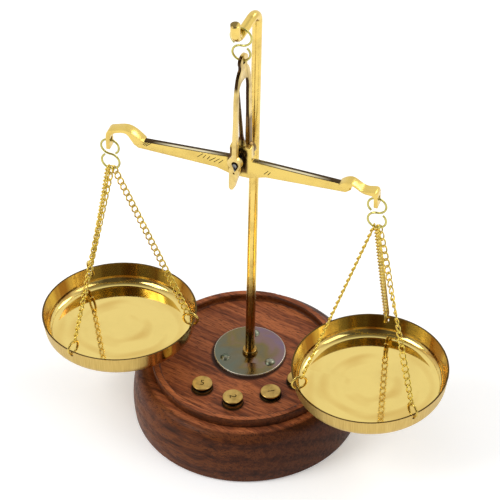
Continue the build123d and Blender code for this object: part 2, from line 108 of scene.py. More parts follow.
def add(
    tree: Tree,
    kind: str,
    inputs: dict[str | int, object] | None = None,
    out: str | int = 0,
    stops: tuple[tuple[float, str], ...] = (),
    **settings: object,
) -> Socket | None:
    """Adds one node with its settings, values and links.

    Args:
        tree: The node tree that the node goes into.
        kind: The node's type name; a shader node's goes without its prefix.
        inputs: Socket name or index, and the value it holds or the output that feeds it.
        out: Name or index of the output that is wanted.
        stops: Place and hex colour of each stop, for a colour ramp.
        settings: The node's own properties.

    Returns:
        The wanted output, or None where the node has no outputs.
    """
    node = tree.nodes.new(kind if "Node" in kind else f"ShaderNode{kind}")
    for name, value in settings.items():
        setattr(node, name, value)
    for key, value in (inputs or {}).items():
        if isinstance(value, Socket):
            tree.links.new(value, node.inputs[key])
        else:
            node.inputs[key].default_value = value
    if stops:
        elements = node.color_ramp.elements
        while len(elements) < len(stops):
            elements.new(0.5)
        for element, (place, colour) in zip(elements, stops):
            element.position = place
            element.color = linear(colour)
    return node.outputs[out] if node.outputs else None


def span(
    value: Socket, low: float, high: float, start: float = 0.0, end: float = 1.0
) -> dict[str, object]:
    """Names the inputs of a range that is mapped to another.

    Args:
        value: The value that is read.
        low: Where the result is start.
        high: Where the result is end.
        start: The first result.
        end: The last result.

    Returns:
        The inputs by name.
    """
    names = ("Value", "From Min", "From Max", "To Min", "To Max")
    return dict(zip(names, (value, low, high, start, end)))


def cover(tree: Tree, under: Socket | Colour, over: Socket | str, *masks: Mask) -> Socket:
    """Lays one colour over another, where all the masks overlap.

    Args:
        tree: The material's node tree.
        under: The colour underneath.
        over: The colour on top, or its hex digits.
        masks: The shares of the colour on top, or ranges that give them; they are multiplied.

    Returns:
        The colour of both.
    """
    share, *others = (
        add(tree, "MapRange", mask) if isinstance(mask, dict) else mask for mask in masks
    )
    for mask in others:
        share = add(tree, "Math", {0: share, 1: mask}, operation="MULTIPLY")
    top = linear(over) if isinstance(over, str) else over
    return add(tree, "Mix", {"Factor": share, 6: under, 7: top}, 2, data_type="RGBA")


def facing(tree: Tree, axis: str) -> Socket:
    """Returns how far the surface faces along an axis, from -1 to 1."""
    normal = add(tree, "NewGeometry", out="Normal")
    return add(tree, "SeparateXYZ", {0: normal}, axis)


def offset(tree: Tree, centre: Triple) -> Socket:
    """Returns the place on a piece, from a point given in millimetres."""
    ends = {0: add(tree, "TexCoord", out="Object"), 1: metres(centre)}
    return add(tree, "VectorMath", ends, operation="SUBTRACT")


def distance(tree: Tree, centre: Triple, axis: str) -> Socket:
    """Returns the distance along an axis, from a point given in millimetres."""
    along = add(tree, "SeparateXYZ", {0: offset(tree, centre)}, axis)
    return add(tree, "Math", {0: along}, operation="ABSOLUTE")


def radius(tree: Tree, place: Socket) -> tuple[Socket, Socket]:
    """Returns the level part of a place, and its length."""
    level = add(tree, "VectorMath", {0: place, 1: LEVEL}, operation="MULTIPLY")
    return level, add(tree, "VectorMath", {0: level}, "Value", operation="LENGTH")


def drawn_noise(
    tree: Tree, place: Socket, sizes: Iterable[float], detail: float, roughness: float = 0.5
) -> Socket:
    """Makes noise whose grains have a length of their own along each axis.

    Args:
        tree: The material's node tree.
        place: The place to read, in metres.
        sizes: The grains' length along each axis, in millimetres.
        detail: The number of finer layers.
        roughness: The strength of the finer layers.

    Returns:
        The noise, from 0 to 1.
    """
    scale = tuple(1 / size for size in metres(sizes))
    scaled = add(tree, "Mapping", {"Vector": place, "Scale": scale})
    noise = {"Vector": scaled, "Scale": 1.0, "Detail": detail, "Roughness": roughness}
    return add(tree, "TexNoise", noise)


def ring_noise(
    tree: Tree, measure: Socket, scale: float, detail: float, across: Socket | float = 0.0
) -> Socket:
    """Makes noise that changes along one measure, as the rings left by a lathe do.

    Args:
        tree: The material's node tree.
        measure: The measure, such as the distance from an axis.
        scale: The number of rings in one unit of the measure.
        detail: The number of finer layers.
        across: A second measure, where the rings break up along their length.

    Returns:
        The noise, from 0 to 1.
    """
    spot = add(tree, "CombineXYZ", {"X": measure, "Y": across, "Z": 0.0})
    return add(tree, "TexNoise", {"Vector": spot, "Scale": scale, "Detail": detail})


def bare_metal(tree: Tree, colour: Socket, rough: Socket, height: Socket, relief: Span) -> Socket:
    """Joins colour, roughness and fine relief in a metal's shader.

    Args:
        tree: The material's node tree.
        colour: The metal's colour.
        rough: Its roughness.
        height: The height of its fine marks.
        relief: The marks' strength, and their depth in millimetres.

    Returns:
        The shader.
    """
    strength, depth = relief
    normal = add(tree, "Bump", {"Height": height, "Strength": strength, "Distance": depth * MM})
    metal = {"Base Color": colour, "Metallic": 1.0, "Roughness": rough, "Normal": normal}
    return add(tree, "BsdfPrincipled", metal)


class Slot(Enum):
    """Names of the record's material slots for the beam, the chain and the weights."""

    BEAM = "beam_brass"
    CHAIN = "chain_brass"
    WEIGHT = "weight_brass"


@dataclass(frozen=True)
class Finish:
    """A surface finish: a name from the real material and a way to build it."""

    name: str

    def material(self) -> bpy.types.Material:
        """Returns the finish's material, made the first time it is asked for."""
        known = bpy.data.materials.get(self.name)
        if known:
            return known
        made = bpy.data.materials.new(self.name)
        made.use_nodes = True
        tree = made.node_tree
        tree.nodes.clear()
        add(tree, "OutputMaterial", {"Surface": self.surface(tree)})
        return made

    def surface(self, tree: Tree) -> Socket:
        """Builds the finish's shader.

        Args:
            tree: The material's empty node tree.

        Returns:
            The shader.
        """
        raise NotImplementedError

    def dress(self, piece: Piece) -> None:
        """Puts the finish on every face of a piece."""
        piece.data.materials.clear()
        piece.data.materials.append(self.material())


@dataclass(frozen=True)
class Rosewood(Finish):
    """Sheesham rosewood, turned, wax polished, its side darkened by staining and painted shade.

    Long streaks of brown and black run through it along one direction, open pores show as short
    dark dashes, painted contact shadow and dirt lie in the corners round what stands on it, and
    the wax gives a soft, uneven shine.
    """

    light: str = "B0663C"
    middle: str = "86482B"
    dark: str = "542E1C"
    # Colours that multiply the side: staining and painted shade, the second deeper towards +X.
    side_stain_and_shade: str = "B4AC88"
    side_stain_and_deeper_shade: str = "827C70"
    painted_shade_reach: Span = (-45.0, 35.0)
    grain_tilt: Span = (0.06, 0.02)
    grain_turn: float = 14.0
    heart: Triple = (0.0, 52.0, 75.0)
    wander_size: float = 30.0
    wander: Triple = (3.0, 6.0, 6.0)
    ring_spacing: float = 9.0
    ring_share: float = 0.18
    streak: Triple = (60.0, 1.9, 1.9)
    pore: Triple = (5.0, 0.35, 0.35)
    pore_strength: float = 0.35
    pore_depth: float = 0.08
    shine: Span = (0.54, 0.36)
    # Painted contact shadow and dirt round what stands on the wood.
    grime_and_shadow_colour: str = "24140C"
    grime_and_shadow_share: float = 0.9
    grime_and_shadow_rings: tuple[tuple[Triple, float, float], ...] = ()

    def surface(self, tree: Tree) -> Socket:
        """Builds streaks, growth rings and pores along the plank's grain."""
        place = add(tree, "TexCoord", out="Object")
        turn = (*self.grain_tilt, math.radians(self.grain_turn))
        plank = {"Vector": place, "Location": metres(self.heart), "Rotation": turn}
        along = add(tree, "Mapping", plank)
        soft = {"Vector": along, "Scale": 1 / (self.wander_size * MM), "Detail": 2.0}
        wander = add(tree, "TexNoise", soft, "Color")
        bend = {0: wander, 1: metres(self.wander), 2: along}
        bent = add(tree, "VectorMath", bend, operation="MULTIPLY_ADD")
        growth = {"Vector": bent, "Scale": WAVE_LENGTH / (self.ring_spacing * MM)}
        growth |= {"Distortion": 1.4, "Detail": 3.0, "Detail Scale": 1.5}
        rings = add(tree, "TexWave", growth, "Fac", wave_type="RINGS", rings_direction="X")
        streaks = drawn_noise(tree, bent, self.streak, 5.0, 0.62)
        both = {0: rings, 1: self.ring_share, 2: streaks}
        figure = add(tree, "Math", both, operation="MULTIPLY_ADD")
        shades = (0.34, self.dark), (0.52, self.middle), (0.72, self.light), (0.88, self.middle)
        colour = add(tree, "ValToRGB", {"Fac": figure}, stops=shades)
        pores = drawn_noise(tree, along, self.pore, 1.5)
        pores = add(tree, "MapRange", span(pores, 0.34, 0.46))
        colour = cover(tree, linear(self.dark), colour, pores)
        top = add(tree, "MapRange", span(facing(tree, "Z"), 0.90, 0.99))
        # Painted shade: the side is multiplied by a darker colour than the top, which is partly
        # real staining; it darkens further towards +X, the side turned from the brighter lamp.
        across = add(tree, "SeparateXYZ", {0: place}, "X")
        drift = span(across, *metres(self.painted_shade_reach))
        side = cover(tree, linear(self.side_stain_and_shade), self.side_stain_and_deeper_shade, drift)
        side_darkening = {"Factor": 1.0, 6: colour, 7: cover(tree, side, "FFFFFF", top)}
        colour = add(tree, "Mix", side_darkening, 2, data_type="RGBA", blend_type="MULTIPLY")
        # Painted contact shadow and dirt: dark rings round what stands on the wood.
        for centre, start, width in self.grime_and_shadow_rings:
            _, reach = radius(tree, offset(tree, centre))
            near = span(reach, start * MM, (start + width) * MM, self.grime_and_shadow_share, 0.0)
            colour = cover(tree, colour, self.grime_and_shadow_colour, near, top)
        sheen = add(tree, "MapRange", span(streaks, 0.3, 0.7, *self.shine))
        bump = {"Height": pores, "Strength": self.pore_strength, "Distance": self.pore_depth * MM}
        wood = {"Base Color": colour, "Roughness": sheen}
        wood |= {"Normal": add(tree, "Bump", bump), "IOR": 1.5}
        wood |= {"Specular IOR Level": 0.12, "Coat Weight": 0.04, "Coat Roughness": 0.2}
        return add(tree, "BsdfPrincipled", wood)


@dataclass(frozen=True)
class Ground:
    """What a layer reads: its tree, the place, the tool's marks and the tarnish's soft cloud."""

    tree: Tree
    place: Socket
    marks: Socket
    cloud: Socket


@dataclass(frozen=True)
class FilmAndPaintedLight:
    """A layer of colour over part of a brass piece: real tarnish and staining in some subclasses,
    painted shade, highlights and reflections in others.
    """

    colour: str

    def masks(self, ground: Ground) -> tuple[Mask, ...]:
        """Finds where the layer lies.

        Args:
            ground: What the film reads.

        Returns:
            Masks from 0 to 1, or ranges that give them; the layer lies where they overlap.
        """
        raise NotImplementedError

    def lay(self, ground: Ground, under: Socket) -> Socket:
        """Returns the colour under the layer, with the layer over it."""
        return cover(ground.tree, under, self.colour, *self.masks(ground))


@dataclass(frozen=True)
class TopFilm(FilmAndPaintedLight):
    """The dark film on the upward faces of the arms."""

    middle: Triple
    reach: Span = (6.0, 51.6)
    mark_share: float = 0.10
    upright: Span = (0.98, 1.03)

    def masks(self, ground: Ground) -> tuple[Mask, ...]:
        """Finds the upward faces between two distances from the middle."""
        tree = ground.tree
        mottled = {0: ground.marks, 1: self.mark_share, 2: facing(tree, "Z")}
        mottled = add(tree, "Math", mottled, operation="MULTIPLY_ADD")
        low, high = metres(self.reach)
        away = distance(tree, self.middle, "X")
        arms = {0: away, 1: (low + high) / 2, 2: (high - low) / 2}
        past = add(tree, "Math", arms, operation="COMPARE")
        return span(mottled, *self.upright), past


@dataclass(frozen=True)
class TopHighlightStreak(TopFilm):
    """A painted highlight: a pale streak along the middle of the arms' dark tops."""

    shift: float = 0.45
    edge: Span = (0.8, 0.5)
    start: Span = (8.0, 20.0)
    end: Span = (47.0, 36.0)

    def masks(self, ground: Ground) -> tuple[Mask, ...]:
        """Finds a narrow line on the film that fades at both ends."""
        x, y, z = self.middle
        aside = distance(ground.tree, (x, y - self.shift, z), "Y")
        away = distance(ground.tree, self.middle, "X")
        fades = ((aside, self.edge), (away, self.start), (away, self.end))
        return (*(span(value, *metres(fade)) for value, fade in fades), *super().masks(ground))


@dataclass(frozen=True)
class InnerShadeAndStrip(FilmAndPaintedLight):
    """Painted shade on the fork's inner sides between the legs, and a darker strip across its front
    between two heights.
    """

    middle: Triple
    strip: Span
    strip_steps: Span = (1.5, -0.5)
    inward: Span = (-0.6, -0.4)
    frontal: Span = (-0.3, -0.45)

    def masks(self, ground: Ground) -> tuple[Mask, ...]:
        """Finds the faces turned to the middle, and the front between two heights."""
        tree = ground.tree
        depth = add(tree, "SeparateXYZ", {0: offset(tree, self.middle)}, "Y")
        outward = add(tree, "Math", {0: depth}, operation="SIGN")
        towards = facing(tree, "Y")
        inner = add(tree, "Math", {0: outward, 1: towards}, operation="MULTIPLY")
        inner = add(tree, "MapRange", span(inner, *self.inward, 1.0, 0.0))
        front = add(tree, "MapRange", span(towards, *self.frontal))
        height = add(tree, "SeparateXYZ", {0: ground.place}, "Z")
        for edge, step in zip(self.strip, self.strip_steps):
            inside = span(height, (edge - step) * MM, (edge + step) * MM)
            both = {0: front, 1: add(tree, "MapRange", inside)}
            front = add(tree, "Math", both, operation="MULTIPLY")
        return (add(tree, "Math", {0: inner, 1: front}, operation="MAXIMUM"),)


@dataclass(frozen=True)
class StainAndShadeBox(FilmAndPaintedLight):
    """A colour that fills a box with ragged sides: real dulling on the rod's cut end, painted shade
    and reflection on the fork and the beam.
    """

    centre: Triple
    half: Triple
    raggedness: float = 0.5
    edge: Span = (1.1, 1.3)
    share: float = 0.92

    def masks(self, ground: Ground) -> tuple[Mask, ...]:
        """Finds the box, its sides moved in and out by the cloud."""
        tree = ground.tree
        sized = {0: offset(tree, self.centre), 1: tuple(1 / size for size in metres(self.half))}
        sized = add(tree, "VectorMath", sized, operation="MULTIPLY")
        apart = add(tree, "VectorMath", {0: sized}, operation="ABSOLUTE")
        x, y, z = (add(tree, "SeparateXYZ", {0: apart}, axis) for axis in "XYZ")
        widest = add(tree, "Math", {0: x, 1: y}, operation="MAXIMUM")
        widest = add(tree, "Math", {0: widest, 1: z}, operation="MAXIMUM")
        ragged = {0: ground.cloud, 1: self.raggedness, 2: widest}
        ragged = add(tree, "Math", ragged, operation="MULTIPLY_ADD")
        return (span(ragged, *self.edge, self.share, 0.0),)


@dataclass(frozen=True)
class BaseReflectionOnFoot(FilmAndPaintedLight):
    """Painted reflection of the dark wooden base, in brown on the foot of the rod."""

    fade: Span = (74.0, 83.0)
    share: float = 0.72

    def masks(self, ground: Ground) -> tuple[Mask, ...]:
        """Finds what lies under a height."""
        height = add(ground.tree, "SeparateXYZ", {0: ground.place}, "Z")
        return (span(height, *metres(self.fade), self.share, 0.0),)


@dataclass(frozen=True)
class Brass(Finish):
    """Yellow brass: warm and mirror-like where it is polished, brown where it has tarnished.

    A large soft noise lays tarnish over the polish, and fine noise drawn out along one direction
    gives the marks of file, wheel or draw plate. Layers of real tarnish and of painted shade,
    highlights and reflections lie over that in their order.
    """

    polish: str = "E4C66C"
    tarnish: str = "8A6428"
    tarnish_share: float = 0.25
    tarnish_size: float = 9.0
    roughness: float = 0.18
    tarnished_roughness: float = 0.62
    grain_length: float = 14.0
    grain_width: float = 0.5
    grain_axis: int = 0
    relief: Span = (0.5, 0.02)
    films_and_painted_light: tuple[FilmAndPaintedLight, ...] = ()

    def base(self, tree: Tree) -> tuple[Socket, Socket, Socket]:
        """Builds the tarnished colour and the marks of the tool.

        Args:
            tree: The material's node tree.

        Returns:
            The colour, the share of tarnish and the height of the tool's marks.
        """
        place = add(tree, "TexCoord", out="Object")
        soft = {"Vector": place, "Scale": 1 / (self.tarnish_size * MM), "Detail": 4.0}
        cloud = add(tree, "TexNoise", soft | {"Roughness": 0.6})
        patches = span(cloud, 0.45, 0.75, 0.0, self.tarnish_share)
        share = add(tree, "MapRange", patches)
        colour = cover(tree, linear(self.polish), self.tarnish, share)
        grain = [self.grain_width] * 3
        grain[self.grain_axis] = self.grain_length
        marks = drawn_noise(tree, place, grain, 2.0)
        ground = Ground(tree, place, marks, cloud)
        for film in self.films_and_painted_light:
            colour = film.lay(ground, colour)
        return colour, share, marks

    def dulled(self, tree: Tree, share: Socket) -> Socket:
        """Returns the roughness, which grows with the share of tarnish."""
        dull = span(share, 0.0, 1.0, self.roughness, self.tarnished_roughness)
        return add(tree, "MapRange", dull)

    def surface(self, tree: Tree) -> Socket:
        """Builds brass with tarnish and tool marks."""
        colour, share, marks = self.base(tree)
        return bare_metal(tree, colour, self.dulled(tree, share), marks, self.relief)


@dataclass(frozen=True)
class PanBrass(Brass):
    """Spun brass: buffed to a mirror inside, brushed up and down the wall outside.

    The inside shows the chains as in a mirror, with arcs where things have rubbed, and painted
    reflections as dark bands round its wall. The outside is paler and satin, with fine upright
    lines all round, and painted shade darkens the rim's flat top.
    """

    centre: Triple = (0.0, 0.0, 0.0)
    satin: str = "E2C87C"
    satin_shade: str = "B08C3E"
    satin_roughness: float = 0.42
    brush_count: float = 420.0
    brush_height: float = 60.0
    worn: str = "BC862E"
    worn_rings: float = 9.0
    worn_share: float = 0.36
    worn_from: Span = (7.0, 13.0)
    worn_break: float = 0.006
    spin_rings: float = 2.2
    rim_painted_shade: str = "5C4620"
    rim_reach: float = 39.0
    wall_painted_reflection: str = "9A6428"
    wall_reflection_bands: float = 2.0
    wall_reflection_share: float = 0.85
    wall_dullness: float = 0.09
    tarnish_dullness: float = 0.18
    buffed_bearing: float = -12.0
    buffed_half: float = 0.0
    buffed_fade: float = 0.12

    def surface(self, tree: Tree) -> Socket:
        """Builds the mirror and the satin finish and parts them by which way the wall faces."""
        colour, share, _ = self.base(tree)
        local = offset(tree, self.centre)
        level, reach = radius(tree, local)
        x, y, z = (add(tree, "SeparateXYZ", {0: local}, axis) for axis in "XYZ")
        bearing = add(tree, "Math", {0: y, 1: x}, operation="ARCTAN2")
        radial = add(tree, "VectorMath", {0: level}, operation="NORMALIZE")
        ways = {0: add(tree, "NewGeometry", out="Normal"), 1: radial}
        outward = add(tree, "VectorMath", ways, "Value", operation="DOT_PRODUCT")
        upright = facing(tree, "Z")
        under = add(tree, "Math", {0: upright, 1: -1.0, 2: outward}, operation="MULTIPLY_ADD")
        outside = add(tree, "MapRange", span(under, 0.35, 0.6))
        if self.buffed_half:
            turn = {0: bearing, 1: math.radians(self.buffed_bearing)}
            turn = add(tree, "Math", turn, operation="SUBTRACT")
            away = add(tree, "Math", {0: turn}, operation="ABSOLUTE")
            half = math.radians(self.buffed_half)
            brushed = add(tree, "MapRange", span(away, half - self.buffed_fade, half))
            outside = add(tree, "Math", {0: outside, 1: brushed}, operation="MULTIPLY")
        around = add(tree, "CombineXYZ", {"X": bearing, "Y": 0.0, "Z": z})
        scale = (self.brush_count / FULL_TURN, 1.0, self.brush_height)
        spot = add(tree, "Mapping", {"Vector": around, "Scale": scale})
        brushing = add(tree, "TexNoise", {"Vector": spot, "Scale": 1.0, "Detail": 2.0})
        spinning = ring_noise(tree, reach, 1 / (self.spin_rings * MM), 3.0)
        steep = add(tree, "Math", {0: outward}, operation="ABSOLUTE")
        wall = add(tree, "MapRange", span(steep, 0.35, 0.85))
        broken = add(tree, "Math", {0: bearing, 1: self.worn_break}, operation="MULTIPLY")
        arcs = ring_noise(tree, reach, 1 / (self.worn_rings * MM), 1.0, broken)
        arcs = span(arcs, 0.5, 0.72, 0.0, self.worn_share)
        inside = cover(tree, colour, self.worn, arcs, span(reach, *metres(self.worn_from)))
        # Painted reflection: dark bands round the inner wall, for the dark room mirrored in it.
        bands = ring_noise(tree, bearing, self.wall_reflection_bands, 3.0)
        bands = span(bands, 0.44, 0.58, 0.0, self.wall_reflection_share)
        inside = cover(tree, inside, self.wall_painted_reflection, wall, bands)
        satin = cover(tree, linear(self.satin_shade), self.satin, brushing)
        colour = cover(tree, inside, satin, outside)
        # Painted shade: a dark line on the rim's flat top, for the shading along the rim's inner
        # edge.
        flat = add(tree, "Math", {0: upright, 1: 0.8}, operation="GREATER_THAN")
        rim = add(tree, "Math", {0: reach, 1: self.rim_reach * MM}, operation="GREATER_THAN")
        colour = cover(tree, colour, self.rim_painted_shade, flat, rim)
        dull = {0: wall, 1: self.wall_dullness, 2: self.roughness}
        mirror = add(tree, "Math", dull, operation="MULTIPLY_ADD")
        sheen = {"Factor": outside, 2: mirror, 3: self.satin_roughness}
        rough = add(tree, "Mix", sheen, data_type="FLOAT")
        dull = {0: share, 1: self.tarnish_dullness, 2: rough}
        rough = add(tree, "Math", dull, operation="MULTIPLY_ADD")
        height = add(tree, "Mix", {"Factor": outside, 2: spinning, 3: brushing}, data_type="FLOAT")
        return bare_metal(tree, colour, rough, height, self.relief)


@dataclass(frozen=True)
class WeightBrass(Brass):
    """Turned brass weight: fine rings on top from the lathe, dull olive film, painted shade in the
    groove.
    """

    centre: Triple = (0.0, 0.0, 0.0)
    groove: Span = (0.0, 0.0)
    groove_painted_shade: str = "2C2312"
    lathe_rings: float = 0.45

    def surface(self, tree: Tree) -> Socket:
        """Builds lathe rings round the weight's own axis and a dark groove."""
        colour, share, _ = self.base(tree)
        local = offset(tree, self.centre)
        _, reach = radius(tree, local)
        rings = ring_noise(tree, reach, 1 / (self.lathe_rings * MM), 2.0)
        height = add(tree, "SeparateXYZ", {0: local}, "Z")
        # Painted shade in the groove under the head.
        low, high = self.groove
        edges = ((low - 0.15, low + 0.15), (high + 0.05, high - 0.25))
        masks = (span(height, *metres(edge)) for edge in edges)
        colour = cover(tree, colour, self.groove_painted_shade, *masks)
        return bare_metal(tree, colour, self.dulled(tree, share), rings, self.relief)


@dataclass(frozen=True)
class HeatTintedSteel(Finish):
    """Polished steel plate with heat colours: violet, straw and green tints over grey-brown.

    It mirrors the rod softly, the film's colour drifts across the disc, and a painted highlight
    brightens its edge.
    """

    centre: Triple = (0.0, 0.0, 0.0)
    reach: float = 19.0
    drift: Triple = (0.24, 0.20, 0.0)
    tints: tuple[tuple[float, str], ...] = (
        (0.22, "666A5C"), (0.40, "6C6652"), (0.52, "766844"), (0.66, "806864"), (0.82, "7A6676"),
    )
    # Painted highlight colour of the disc's edge.
    rim: str = "D6CEBC"
    rim_roughness: float = 0.45
    roughness: Span = (0.16, 0.23)
    relief: Span = (0.04, 0.03)

    def surface(self, tree: Tree) -> Socket:
        """Builds a colour drift from the lower left to the upper right of the disc."""
        disc = {"Vector": add(tree, "TexCoord", out="Object")}
        disc |= {"Location": tuple(-value / self.reach for value in self.centre)}
        local = add(tree, "Mapping", disc | {"Scale": (1 / (self.reach * MM),) * 3})
        cloudy = {"Vector": local, "Scale": 1.3, "Detail": 3.0, "Distortion": 0.6}
        blotch = add(tree, "TexNoise", cloudy)
        drift = add(tree, "VectorMath", {0: local, 1: self.drift}, "Value", operation="DOT_PRODUCT")
        film = add(tree, "Math", {0: blotch, 1: drift}, operation="ADD")
        colour = add(tree, "ValToRGB", {"Fac": film}, stops=self.tints)
        smeary = {"Vector": local, "Scale": 5.0, "Detail": 5.0, "Roughness": 0.65}
        smears = add(tree, "TexNoise", smeary)
        _, out = radius(tree, local)
        # Painted highlight: a pale ring at the disc's edge, where the edge catches the light.
        rim = add(tree, "MapRange", span(out, 0.965, 0.985))
        colour = cover(tree, colour, self.rim, rim)
        rough = add(tree, "MapRange", span(smears, 0.35, 0.7, *self.roughness))
        edge = {"Factor": rim, 2: rough, 3: self.rim_roughness}
        rough = add(tree, "Mix", edge, data_type="FLOAT")
        return bare_metal(tree, colour, rough, smears, self.relief)


@dataclass(frozen=True)
class Steel(Finish):
    """Small steel parts: a grey to green-grey film with brighter rubbed spots."""

    bright: str = "9C9A86"
    film: str = "4E5A48"
    spot: float = 2.4
    roughness: float = 0.32
    film_dullness: float = 0.15
    relief: Span = (0.3, 0.04)

    def surface(self, tree: Tree) -> Socket:
        """Builds mottled steel."""
        place = add(tree, "TexCoord", out="Object")
        spots = {"Vector": place, "Scale": 1 / (self.spot * MM), "Detail": 4.0}
        mottle = add(tree, "TexNoise", spots)
        stops = ((0.38, self.film), (0.62, self.bright))
        colour = add(tree, "ValToRGB", {"Fac": mottle}, stops=stops)
        dull = span(mottle, 0.3, 0.7, self.roughness + self.film_dullness, self.roughness)
        rough = add(tree, "MapRange", dull)
        return bare_metal(tree, colour, rough, mottle, self.relief)


def link_object(name: str, data: bpy.types.ID) -> Piece:
    """Returns a new object with this data, linked to the scene."""
    made = bpy.data.objects.new(name, data)
    bpy.context.scene.collection.objects.link(made)
    return made


def collect(host: Piece, name: str) -> Piece:
    """Turns an object with live modifiers into a plain mesh object at the origin.

    Args:
        host: The object to read; it is removed.
        name: The new object's name.

    Returns:
        The plain mesh object.
    """
    bpy.context.view_layer.update()
    graph = bpy.context.evaluated_depsgraph_get()
    mesh = bpy.data.meshes.new_from_object(host.evaluated_get(graph), depsgraph=graph)
    mesh.name = name
    made = link_object(name, mesh)
    bpy.data.objects.remove(host)
    return made


def start_tree(name: str, values: dict[str, object]) -> Tree:
    """Starts a geometry tree with an input for the geometry and one for each value.

    Args:
        name: The tree's name.
        values: The value of each further input by its name.

    Returns:
        The tree.
    """
    tree = bpy.data.node_groups.new(name, "GeometryNodeTree")
    for way in ("INPUT", "OUTPUT"):
        tree.interface.new_socket("Geometry", in_out=way, socket_type="NodeSocketGeometry")
    kinds = {float: "NodeSocketFloat", int: "NodeSocketInt"}
    for label, value in values.items():
        kind = kinds.get(type(value), "NodeSocketMaterial")
        tree.interface.new_socket(label, in_out="INPUT", socket_type=kind)
    return tree


def repeat(tree: Tree, points: Socket, shape: Socket, material: Socket, **placing: Socket) -> None:
    """Ends a geometry tree: puts a shape on every point, makes it real and dresses it.

    Args:
        tree: The geometry tree.
        points: The points.
        shape: The shape to repeat.
        material: The material of the shapes.
        placing: Rotation and scale of each shape.
    """
    copies = {"Points": points, "Instance": shape, **placing}
    placed = add(tree, "GeometryNodeInstanceOnPoints", copies)
    real = add(tree, "GeometryNodeRealizeInstances", {0: placed})
    dressed = add(tree, "GeometryNodeSetMaterial", {"Geometry": real, "Material": material})
    add(tree, "NodeGroupOutput", {0: dressed})


def run_tree(host: Piece, tree: Tree, values: dict[str, object], name: str) -> Piece:
    """Runs a geometry tree on a host mesh and keeps the result as a plain mesh.

    Args:
        host: The object whose mesh feeds the tree; it is removed.
        tree: The geometry tree.
        values: The value of each input by its name.
        name: The name of the piece.

    Returns:
        The piece.
    """
    modifier = host.modifiers.new("tree", "NODES")
    modifier.node_group = tree
    for socket in tree.interface.items_tree:
        if socket.name in values:
            modifier[socket.identifier] = values[socket.name]
    return collect(host, name)


@dataclass
class CurbChain:
    """The three curb chains of a pan: every link is a wire oval twisted a quarter turn."""

    name: str
    routes: tuple[Route, ...]
    front: Triple = (0.25, -0.70, 0.67)
    stations: int = 12
    link_length: float = 4.75
    link_width: float = 3.0
    link_sides: int = 14
    wire_radius: float = 0.4
    wire_sides: int = 6
    pitch: float = 3.62
    twist: float = 78.0

    def host(self) -> Piece:
        """Builds a line for each chain, with the way its links face stored along it.

        Returns:
            The host object.
        """
        points, edges, facings = [], [], []
        for start, finish, first_turn, last_turn in self.routes:
            down = (Vector(finish) - Vector(start)).normalized()
            margin = down * self.link_length / 2
            front = Vector(self.front)
            level = (front - down * front.dot(down)).normalized()
            for station in range(self.stations + 1):
                share = station / self.stations
                if station:
                    edges.append((len(points) - 1, len(points)))
                points.append((Vector(start) + margin).lerp(Vector(finish) - margin, share) * MM)
                turn = math.radians(first_turn + (last_turn - first_turn) * share)
                facings.extend(Matrix.Rotation(turn, 3, down) @ level)
        mesh = bpy.data.meshes.new("chain_routes")
        mesh.from_pydata(points, edges, [])
        mesh.attributes.new("facing", "FLOAT_VECTOR", "POINT").data.foreach_set("vector", facings)
        return link_object("chain_routes", mesh)

    def build(self, finish: Finish) -> Piece:
        """Lays the links along the routes.

        Args:
            finish: The finish of the links.

        Returns:
            One mesh with all links of the three chains.
        """
        values = {
            "Link Length": self.link_length * MM,
            "Link Width": self.link_width * MM,
            "Wire Radius": self.wire_radius * MM,
            "Pitch": self.pitch * MM,
            "Twist": math.radians(self.twist),
            "Material": finish.material(),
        }
        tree = start_tree("CurbChainLinks", values)
        given = tree.nodes.new("NodeGroupInput").outputs
        circle = {"Resolution": self.link_sides, "Radius": 0.5}
        oval = add(tree, "GeometryNodeCurvePrimitiveCircle", circle)
        size = add(tree, "CombineXYZ", {0: given["Link Length"], 1: given["Link Width"], 2: 1.0})
        oval = add(tree, "GeometryNodeTransform", {"Geometry": oval, "Scale": size})
        place = add(tree, "GeometryNodeInputPosition")
        along = add(tree, "SeparateXYZ", {0: place}, "X")
        share = add(tree, "Math", {0: along, 1: given["Link Length"]}, operation="DIVIDE")
        angle = add(tree, "Math", {0: share, 1: given["Twist"]}, operation="MULTIPLY")
        turn = {"Vector": place, "Angle": angle}
        turned = add(tree, "VectorRotate", turn, rotation_type="X_AXIS")
        twisted = add(tree, "GeometryNodeSetPosition", {"Geometry": oval, "Position": turned})
        wire = {"Resolution": self.wire_sides, "Radius": given["Wire Radius"]}
        wire = add(tree, "GeometryNodeCurvePrimitiveCircle", wire)
        link = add(tree, "GeometryNodeCurveToMesh", {"Curve": twisted, "Profile Curve": wire})
        link = add(tree, "GeometryNodeSetShadeSmooth", {"Geometry": link})
        routes = add(tree, "GeometryNodeMeshToCurve", {"Mesh": given["Geometry"]})
        spaced = {"Curve": routes, "Length": given["Pitch"]}
        spaced = add(tree, "GeometryNodeResampleCurve", spaced, mode="LENGTH")
        named = {"data_type": "FLOAT_VECTOR", "out": "Attribute"}
        way = add(tree, "GeometryNodeInputNamedAttribute", {"Name": "facing"}, **named)
        axes = {0: add(tree, "GeometryNodeInputTangent"), 1: way}
        rotation = add(
            tree, "FunctionNodeAxesToRotation", axes, primary_axis="X", secondary_axis="Z"
        )
        repeat(tree, spaced, link, given["Material"], Rotation=rotation)
        return run_tree(self.host(), tree, values, self.name)


